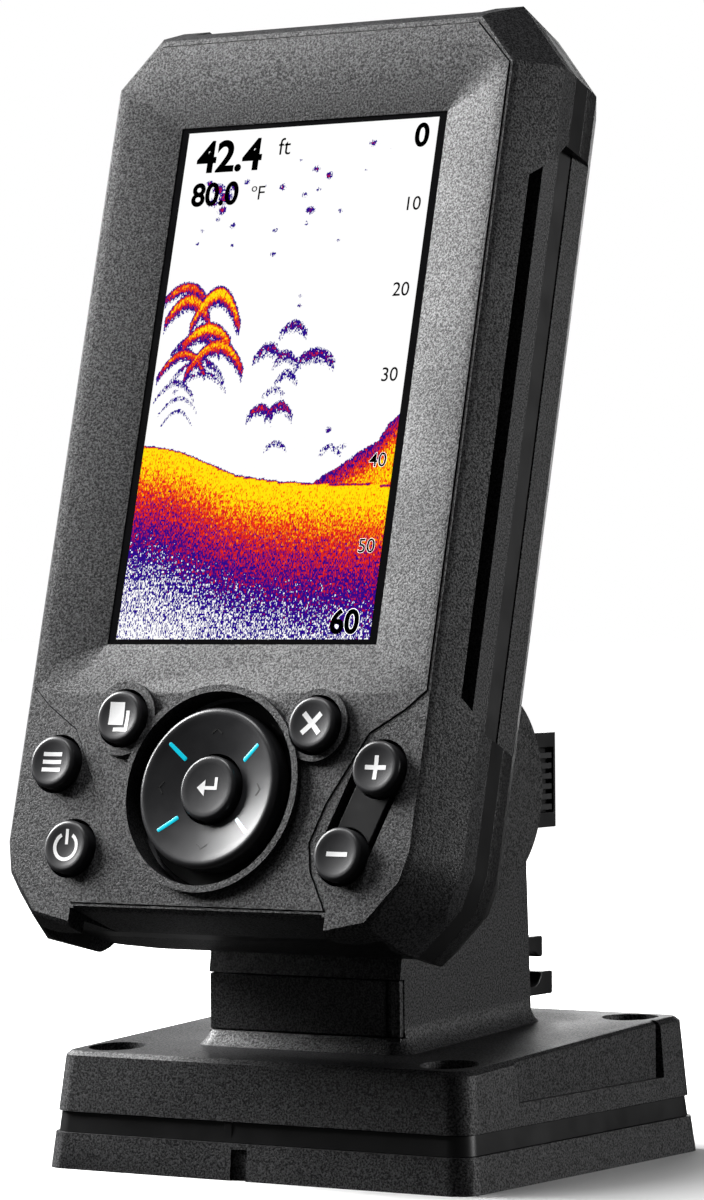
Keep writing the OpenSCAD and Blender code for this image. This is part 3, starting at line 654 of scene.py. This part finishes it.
def legend_power():
    return [arc(2.0, 2.65, 60, 300), bar(0.62, 2.7, y=1.75)]


def legend_page():
    return [bar(3.1, 4.1, -0.55, 0.55), bar(0.75, 3.7, 1.85, -0.75), bar(3.1, 0.7, 0.68, -2.35)]


def legend_exit():
    return [bar(5.0, 0.95, turn=45), bar(0.95, 2.02, -1.06, 1.06, 45), bar(0.95, 2.02, 1.06, -1.06, 45)]


def legend_plus():
    return [bar(4.2, 0.8), bar(0.8, 1.7, 0, 1.25), bar(0.8, 1.7, 0, -1.25)]


def legend_minus():
    return [bar(4.2, 0.8)]


def legend_enter():
    return [arrow_head(-2.3, -0.7, 1.45), bar(2.6, 0.62, 0.6, 0), bar(0.62, 1.6, 1.59, 1.11)]


LEGENDS = {
    "menu": legend_menu, "power": legend_power, "page": legend_page, "exit": legend_exit,
    "plus": legend_plus, "minus": legend_minus, "enter": legend_enter,
}


# In millimetres: how far the flanges reach past the keys, the keys' rounded lip and their dish
KEY_FLANGE = 1.3
ENTER_FLANGE = 1.1
KEY_LIP = 0.75
KEY_DISH = 0.45


class FISHFINDER_OT_keys(bpy.types.Operator):
    """Turn the round keys with their dished tops and print their legends"""

    bl_idname = "fish_finder.keys"
    bl_label = "Keys"

    def execute(self, context):
        colour = looks().key_colour
        moulding = satin_plastic("key_satin", colour, gloss=0.36)
        ink = printed_white("legend_ink")
        for name, legend in LEGENDS.items():
            node = "key_" + name
            centre = in_head(node)
            low, high = depth_of(node)
            flange = (span(node, RIGHT)[1] - span(node, RIGHT)[0]) / 2 / MM
            radius = flange - (ENTER_FLANGE if name == "enter" else KEY_FLANGE)
            profile = [(0, low), (flange, low), (flange, low + 1), (radius, low + 1)]
            profile += lip(radius, high, KEY_LIP)
            profile += dish(radius - KEY_LIP, high, KEY_DISH)
            key = turned(name + "_key", profile)
            print_piece = lay_on(join(name + "_legend", legend()), key)
            for piece, material in ((key, moulding), (print_piece, ink)):
                place_in_head(piece, centre.x, centre.y)
                dress(piece, material, node)
            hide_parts(node)
        return {"FINISHED"}


# In millimetres: the pad's inner radius, its bowl, its pivot rods below the ring, and its arrows
PAD_INNER = 6.4
BOWL_DEPTH = 1.58
BOWL_RINGS = 10
PIVOT_ROD_R = 0.85
ARROWS_AT = 10.3


class FISHFINDER_OT_pad(bpy.types.Operator):
    """Turn the rocking pad's dished ring, and set its light bars and arrow marks"""

    bl_idname = "fish_finder.pad"
    bl_label = "Direction pad"

    def execute(self, context):
        settings = looks()
        moulding = satin_plastic("pad_satin", settings.key_colour, gloss=0.33)
        mark = satin_plastic("pad_mark", (0.003, 0.003, 0.003), gloss=0.6)
        centre = in_head("pad_ring")
        low = depth_of("pad_ring")[0] + PIVOT_ROD_R
        high = depth_of("pad_ring")[1]
        outer = (span("pad_ring", RIGHT)[1] - span("pad_ring", RIGHT)[0]) / 2 / MM
        bowl = [
            (outer - 1.5 - (outer - 1.5 - PAD_INNER) * i / BOWL_RINGS,
             high - 0.12 - BOWL_DEPTH * (i / BOWL_RINGS) ** 0.92)
            for i in range(BOWL_RINGS + 1)]
        profile = [(PAD_INNER, low), (outer - 1, low), (outer, low + 1.2)]
        profile += lip(outer, high, 1.0, steps=6)
        profile += bowl
        profile.append((PAD_INNER, low))
        ring = turned("pad_dish", profile, steps=128)
        marks = []
        for number in range(4):
            turn = 90 * number
            for side in (-1, 1):
                piece = bar(1.5, 0.26, side * 0.5, 0, -38 * side)
                only(piece)
                bpy.ops.object.mode_set(mode="EDIT")
                bpy.ops.transform.translate(value=(0, ARROWS_AT * MM, 0))
                bpy.ops.transform.rotate(
                    value=-math.radians(turn), orient_axis="Z", center_override=(0, 0, 0))
                bpy.ops.object.mode_set(mode="OBJECT")
                marks.append(piece)
        arrows = lay_on(join("pad_arrows", marks), ring)
        for piece, material in ((ring, moulding), (arrows, mark)):
            place_in_head(piece, centre.x, centre.y)
            dress(piece, material, "pad")
        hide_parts("pad_ring")
        soften("pad_lights", self.glow(settings.glow_colour), 0.42 * MM, segments=4)
        return {"FINISHED"}

    @staticmethod
    def glow(colour):
        """Cyan light bars; the one at the lower right is painted pale as a painted glare highlight."""
        graph = Graph("bar_glow")
        split = graph.add("ShaderNodeSeparateXYZ")
        graph.link(graph.place(), split.inputs["Vector"])
        right = graph.add("ShaderNodeMath", operation="GREATER_THAN")
        right.inputs[1].default_value = middle("pad_lights", RIGHT)
        graph.link(split.outputs["X"], right.inputs[0])
        lower = graph.add("ShaderNodeMath", operation="LESS_THAN")
        low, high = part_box("pad_lights")
        lower.inputs[1].default_value = (low.z + high.z) / 2
        graph.link(split.outputs["Z"], lower.inputs[0])
        # mask of the lower right quarter, where a painted glare highlight is laid on the bar
        painted_glare_quarter = graph.add("ShaderNodeMath", operation="MULTIPLY")
        graph.link(right.outputs[0], painted_glare_quarter.inputs[0])
        graph.link(lower.outputs[0], painted_glare_quarter.inputs[1])
        # the lower right bar's pale colour is a painted glare highlight
        light = graph.mix(painted_glare_quarter.outputs[0], colour, (0.62, 0.72, 0.74))
        haze = graph.noise(0.8 * MM)
        shade = graph.mix(graph.spread(haze, 0.3, 0.7, 0, 0.15), light, (0, 0, 0))
        graph.link(shade, graph.shader.inputs["Base Color"])
        graph.link(shade, graph.shader.inputs["Emission Color"])
        graph.set(Emission_Strength=0.75, Roughness=0.4)
        return graph.material


# The display's lit area in millimetres, and the grid that holds the echo strengths
LIT_W = 53.86
LIT_H = 95.04
GRID = (160, 280)
# Readings lower than this lie on the echoes and have a white edge
HALO_BELOW = -10
# Height of a digit as a share of the typeface's size
DIGIT_SHARE = 0.72

# The sonar picture, in millimetres from the display's centre
BED = ((-27, -11.6), (-22.5, -12.1), (-18.3, -13.0), (-12.4, -15.1), (-5.8, -17.5), (3.7, -18.8),
       (15.3, -19.5), (27, -19.8))
REEF = ((10.5, -19.2), (13, -17.6), (15.5, -16.3), (19.6, -13.6), (23.1, -11.9), (24.8, -8.9), (27, -6.8))
# (middle u, top v, half width, drop at the ends, thickness, strength)
ARCHES = (
    (-22.4, 18.3, 4.6, 2.6, 0.9, 0.78), (-15.2, 16.9, 5.6, 6.8, 1.3, 0.98),
    (-21.4, 15.9, 5.0, 4.4, 1.2, 0.86),
    (-16.4, 10.3, 5.2, 3.2, 1.1, 0.95), (-18.6, 8.8, 5.6, 3.8, 0.9, 0.5), (-20.9, 5.7, 5.4, 4.6, 0.8, 0.78),
    (-13.9, 7.1, 6.4, 5.6, 1.1, 0.88), (-17.4, 4.2, 6.2, 4.4, 0.7, 0.42), (-16.5, 1.8, 6.0, 3.9, 0.6, 0.36),
    (-21.8, 0.2, 4.6, 3.6, 0.6, 0.38), (-20.6, -2.8, 4.4, 3.2, 0.45, 0.33),
    (-20.6, -5.2, 3.6, 3.2, 0.4, 0.31),
    (2.2, 10.4, 3.1, 2.2, 1.0, 0.42), (-2.6, 6.3, 3.2, 2.6, 1.2, 0.44), (1.2, 4.9, 2.6, 2.2, 1.0, 0.42),
    (7.6, 4.9, 4.4, 2.2, 1.2, 0.46), (2.0, 1.4, 2.6, 2.4, 0.9, 0.34), (-2.6, -5.0, 2.9, 2.0, 0.9, 0.52),
    (1.5, -4.6, 3.0, 2.4, 0.9, 0.52), (-0.3, -1.6, 2.6, 1.6, 0.8, 0.3), (1.6, -11.6, 2.6, 1.6, 0.6, 0.34),
    (13.4, -12.6, 2.6, 1.6, 0.8, 0.3),
)
# (u, v, radius, strength) of loose echoes
SPECKS = (
    (-18.6, 36.4, 1.3, 0.62), (-16.9, 34.9, 1.5, 0.58), (-19.4, 33.9, 1.2, 0.5), (-17.2, 32.4, 1.1, 0.5),
    (-15.2, 36.6, 0.9, 0.5), (-20.8, 37.6, 0.8, 0.45), (-12.6, 37.5, 0.7, 0.45), (-17.9, 30.6, 0.6, 0.4),
    (-4.6, 36.1, 0.8, 0.5), (2.2, 39.2, 0.8, 0.5), (5.2, 37.8, 0.9, 0.5), (13.6, 43.4, 0.8, 0.5),
    (2.1, 31.4, 1.0, 0.5), (-14.3, 29.3, 0.8, 0.4), (-4.9, 28.0, 0.6, 0.4), (8.6, 31.0, 0.6, 0.4),
    (-4.6, 23.5, 0.7, 0.4), (0.4, 34.4, 0.7, 0.4), (-13.8, 25.6, 0.5, 0.35), (3.3, 35.3, 0.6, 0.35),
    (9.0, 25.5, 0.5, 0.33), (-21.0, 28.6, 0.6, 0.33), (-21.6, 26.2, 0.5, 0.33), (2.6, 13.6, 0.5, 0.45),
    (2.5, 15.4, 0.4, 0.45), (-8.4, 36.5, 0.5, 0.3), (1.6, 29.0, 0.7, 0.33), (12.9, 38.4, 0.4, 0.33),
    (-1.5, 41.0, 0.4, 0.33), (17.4, 42.2, 0.4, 0.33), (12.4, -9.6, 0.8, 0.4), (15.9, -12.6, 0.9, 0.36),
)
# (text, left u, base v, height, boldness)
READINGS = (
    ("42.4", -24.2, 39.9, 5.9, 0.085), ("ft", -6.7, 42.3, 3.3, 0.0), ("80.0", -24.4, 33.5, 4.3, 0.085),
    ("\u00baF", -11.4, 34.0, 2.7, 0.0), ("0", 22.3, 42.3, 4.3, 0.085), ("10", 21.9, 30.4, 2.6, 0.01),
    ("20", 21.9, 14.6, 2.6, 0.01), ("30", 21.9, -1.0, 2.6, 0.01), ("40", 21.9, -16.5, 2.6, 0.01),
    ("50", 21.9, -32.0, 2.6, 0.01), ("60", 18.3, -46.4, 4.3, 0.085),
)


def along(points, u):
    """Height of a polyline at u, or None outside it."""
    for (u0, v0), (u1, v1) in zip(points, points[1:]):
        if u0 <= u <= u1:
            return v0 + (v1 - v0) * (u - u0) / (u1 - u0)
    return None


def echo_strength(u, v, chance):
    """Strength of the sonar echo at a place of the picture, from 0 to 1."""
    bed = along(BED, u)
    if bed is not None and v < bed:
        depth = (bed - v) * (1.22 - 0.18 * (u + 27) / 54)
        if depth < 0.3:
            return 0.42
        return along(
            ((0, 1.0), (3.5, 0.96), (6.5, 0.83), (10, 0.70), (14, 0.58), (19, 0.46), (27, 0.33),
             (33, 0.24), (41, 0.18), (60, 0.16)), depth)
    best = 0.0
    reef = along(REEF, u)
    if reef is not None and v < reef:
        best = min(0.40 + 0.075 * (reef - v), 0.86)
    for u0, v0, half, drop, thick, strength in ARCHES:
        x = (u - u0) / half
        if abs(x) < 1:
            away = (v - (v0 - drop * x * x)) / thick
            away = 0.62 * away if away < 0 else 1.5 * away
            best = max(best, strength * math.exp(-away * away * 0.8) * (1 - 0.35 * abs(x) ** 3))
    for u0, v0, radius, strength in SPECKS:
        away = math.hypot(u - u0, 1.3 * (v - v0)) / radius
        if away < 1.6:
            best = max(best, strength * math.exp(-away * away))
    if -6.5 < u < 6.5 and -18 < v < 12:
        best = max(best, 0.16 * chance * (1 - abs(u) / 7))
    return best


class FISHFINDER_OT_display(bpy.types.Operator):
    """Draw the sonar picture, its scale and its readings on the front of the lens"""

    bl_idname = "fish_finder.display"
    bl_label = "Display"

    def execute(self, context):
        lens_front = depth_of("screen_lens")[1]
        bpy.ops.object.select_all(action="DESELECT")
        bpy.ops.mesh.primitive_grid_add(x_subdivisions=GRID[0], y_subdivisions=GRID[1], size=MM)
        picture = context.object
        picture.name = "sonar_picture"
        bpy.ops.object.mode_set(mode="EDIT")
        bpy.ops.transform.resize(value=(LIT_W, LIT_H, 1))
        bpy.ops.object.mode_set(mode="OBJECT")
        dice = random.Random(7)
        data = picture.data
        echo = data.attributes.new("echo", "FLOAT", "POINT")
        place = data.attributes.new("place", "FLOAT_VECTOR", "POINT")
        for number, vertex in enumerate(data.vertices):
            u, v = vertex.co.x / MM, vertex.co.y / MM
            echo.data[number].value = echo_strength(u, v, dice.random())
            place.data[number].vector = (u, v, 0)
        place_in_head(picture, 0, 0, (lens_front + 0.03) * MM)
        dress(picture, self.picture_material(), "head")

        halo = self.flat("reading_halo", (0.9, 0.9, 0.9), 0.9)
        black = self.flat("reading_black", (0.0, 0.0, 0.0), 0.0)
        for depth, grow, material, name in ((0.05, 0.055, halo, "halo"), (0.07, 0.0, black, "readings")):
            pieces = [
                self.write(text, u, v, size, bold + grow)
                for text, u, v, size, bold in READINGS if name == "readings" or v < HALO_BELOW]
            piece = join("display_" + name, pieces)
            place_in_head(piece, 0, 0, (lens_front + depth) * MM)
            dress(piece, material, "head")
        return {"FINISHED"}

    @staticmethod
    def write(text, u, v, height, bold):
        """Text as a flat mesh, with its left end and base line at a place in millimetres."""
        bpy.ops.object.select_all(action="DESELECT")
        bpy.ops.object.text_add()
        words = bpy.context.object
        words.data.body = text
        words.data.size = height / DIGIT_SHARE * MM
        words.data.offset = 0.35 * bold * words.data.size
        bpy.ops.object.convert(target="MESH")
        piece = bpy.context.object
        piece.data.transform(Matrix.Translation((u * MM, v * MM, 0)))
        return piece

    @staticmethod
    def flat(name, colour, strength):
        graph = Graph(name)
        tint = graph.noise(0.5 * MM)
        graph.link(graph.mix(tint, darker(colour, 0.97), colour), graph.shader.inputs["Base Color"])
        graph.set(
            Emission_Color=(*colour, 1), Emission_Strength=strength, Roughness=0.9, Specular_IOR_Level=0)
        return graph.material

    @staticmethod
    def picture_material():
        """Echo strength with speckle, shown through the palette of a sonar display."""
        graph = Graph("sonar_screen")
        strength = graph.add("ShaderNodeAttribute", attribute_name="echo").outputs["Fac"]
        place = graph.add("ShaderNodeAttribute", attribute_name="place").outputs["Vector"]
        cells = graph.add("ShaderNodeVectorMath", operation="SNAP")
        cells.inputs[1].default_value = (0.15, 0.34, 1)
        graph.link(place, cells.inputs[0])
        speck = graph.add("ShaderNodeTexWhiteNoise", noise_dimensions="2D")
        graph.link(cells.outputs[0], speck.inputs["Vector"])
        clump = graph.add("ShaderNodeTexNoise")
        clump.inputs["Scale"].default_value = 1.5
        clump.inputs["Detail"].default_value = 2
        graph.link(place, clump.inputs["Vector"])
        rough = graph.spread(speck.outputs["Value"], 0, 1, -0.16, 0.16)
        lumps = graph.spread(clump.outputs["Fac"], 0.3, 0.7, -0.10, 0.10)
        total = graph.add("ShaderNodeMath", operation="ADD")
        graph.link(rough, total.inputs[0])
        graph.link(lumps, total.inputs[1])
        amount = graph.spread(strength, 0.04, 0.22, 0, 1)
        scaled = graph.add("ShaderNodeMath", operation="MULTIPLY")
        graph.link(total.outputs[0], scaled.inputs[0])
        graph.link(amount, scaled.inputs[1])
        level = graph.add("ShaderNodeMath", operation="ADD")
        graph.link(strength, level.inputs[0])
        graph.link(scaled.outputs[0], level.inputs[1])
        ramp = graph.add("ShaderNodeValToRGB")
        graph.link(level.outputs[0], ramp.inputs["Fac"])
        stops = (
            (0.0, (1.0, 1.0, 1.0)), (0.235, (1.0, 1.0, 1.0)), (0.24, (0.012, 0.000, 0.26)),
            (0.48, (0.025, 0.000, 0.25)), (0.52, (0.25, 0.001, 0.08)), (0.56, (0.55, 0.003, 0.015)),
            (0.74, (0.90, 0.03, 0.004)), (0.82, (1.0, 0.24, 0.0)), (0.92, (1.0, 0.78, 0.0)))
        ramp.color_ramp.elements[0].color = (*stops[0][1], 1)
        ramp.color_ramp.elements[1].position = stops[-1][0]
        ramp.color_ramp.elements[1].color = (*stops[-1][1], 1)
        for position, colour in stops[1:-1]:
            ramp.color_ramp.elements.new(position).color = (*colour, 1)
        graph.link(ramp.outputs["Color"], graph.shader.inputs["Emission Color"])
        graph.set(Base_Color=(0, 0, 0, 1), Emission_Strength=1.0, Roughness=0.2, Specular_IOR_Level=0.12)
        return graph.material


class FISHFINDER_OT_hardware(bpy.types.Operator):
    """Wind the release spring and finish the metal, rubber and inside pieces"""

    bl_idname = "fish_finder.hardware"
    bl_label = "Hardware"

    def execute(self, context):
        steel = metal("zinc_steel", (0.55, 0.55, 0.56))
        self.wind_spring(metal("spring_wire", (0.62, 0.62, 0.63), gloss=0.22))
        pad_rubber = rubber("grip_rubber", (0.030, 0.030, 0.031))
        seal = rubber("seal_rubber", (0.08, 0.08, 0.085))
        board = circuit("circuit_board")
        lens = satin_plastic("lens_gloss", (0.004, 0.004, 0.0045), gloss=0.08)
        white = satin_plastic("white_moulding", (0.75, 0.75, 0.77), gloss=0.5)
        black = satin_plastic("inner_black", (0.02, 0.02, 0.02), gloss=0.5)
        finishes = {
            "swivel_bolt": steel, "swivel_washer": steel, "swivel_nut": steel, "case_screws": steel,
            "grip_pad_left": pad_rubber, "grip_pad_right": pad_rubber, "tilt_washers": seal,
            "case_gasket": seal, "screen_lens": lens, "light_tray": white, "buzzer": black,
            "display_module": metal("panel_can", (0.6, 0.61, 0.63), gloss=0.35),
            "display_flex": satin_plastic("amber_film", (0.42, 0.20, 0.03), gloss=0.3),
            "main_board": board, "keypad_board": board,
            "processor_shield": metal("tin_can", (0.7, 0.7, 0.71), gloss=0.25),
            "keypad_mat": rubber("mat_rubber", (0.42, 0.42, 0.44)),
            "socket_pins": metal("gold_pin", (0.83, 0.60, 0.22), gloss=0.18),
        }
        for node, material in finishes.items():
            finish_node(node, material)
        return {"FINISHED"}

    @staticmethod
    def wind_spring(material):
        """A coil spring between the release sliders, in place of its envelope."""
        low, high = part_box("release_spring")
        length = high.x - low.x
        radius = (high.z - low.z) / 2
        wire = 0.42 * MM
        turns = 7
        bpy.ops.object.select_all(action="DESELECT")
        bpy.ops.mesh.primitive_circle_add(vertices=16, radius=wire)
        spring = bpy.context.object
        spring.name = "coil_spring"
        bpy.ops.object.mode_set(mode="EDIT")
        bpy.ops.mesh.select_all(action="SELECT")
        bpy.ops.transform.rotate(value=math.radians(90), orient_axis="X", center_override=(0, 0, 0))
        bpy.ops.transform.translate(value=(radius - wire, 0, wire))
        bpy.ops.object.mode_set(mode="OBJECT")
        apply_modifier(
            spring, "SCREW", axis="Z", angle=2 * math.pi, iterations=turns, steps=28, render_steps=28,
            screw_offset=(length - 2 * wire) / turns, use_merge_vertices=False)
        face_outwards(spring)
        axis = Vector((low.x, (low.y + high.y) / 2, (low.z + high.z) / 2))
        spring.data.transform(Matrix.Translation(axis) @ Matrix.Rotation(math.radians(90), 4, "Y"))
        smooth(spring, 60)
        dress(spring, material, "bracket", ["release_spring"])


class FISHFINDER_PT_panel(bpy.types.Panel):
    """Lists the operators as buttons"""

    bl_idname = "FISHFINDER_PT_panel"
    bl_label = "Fish Finder"
    bl_space_type = "VIEW_3D"
    bl_region_type = "UI"
    bl_category = "Fish Finder"

    def draw(self, context):
        for operator in OPERATORS:
            self.layout.operator(operator.bl_idname)


OPERATORS = (
    FISHFINDER_OT_stage, FISHFINDER_OT_shells, FISHFINDER_OT_keys, FISHFINDER_OT_pad,
    FISHFINDER_OT_display, FISHFINDER_OT_hardware)
CLASSES = (FishFinderLooks, *OPERATORS, FISHFINDER_PT_panel)


def register():
    for cls in CLASSES:
        bpy.utils.register_class(cls)
    bpy.types.Scene.fish_finder_looks = bpy.props.PointerProperty(type=FishFinderLooks)


def unregister():
    del bpy.types.Scene.fish_finder_looks
    for cls in reversed(CLASSES):
        bpy.utils.unregister_class(cls)


def main():
    register()
    for operator in OPERATORS:
        group, name = operator.bl_idname.split(".")
        getattr(getattr(bpy.ops, group), name)()


if __name__ == "__main__":
    main()
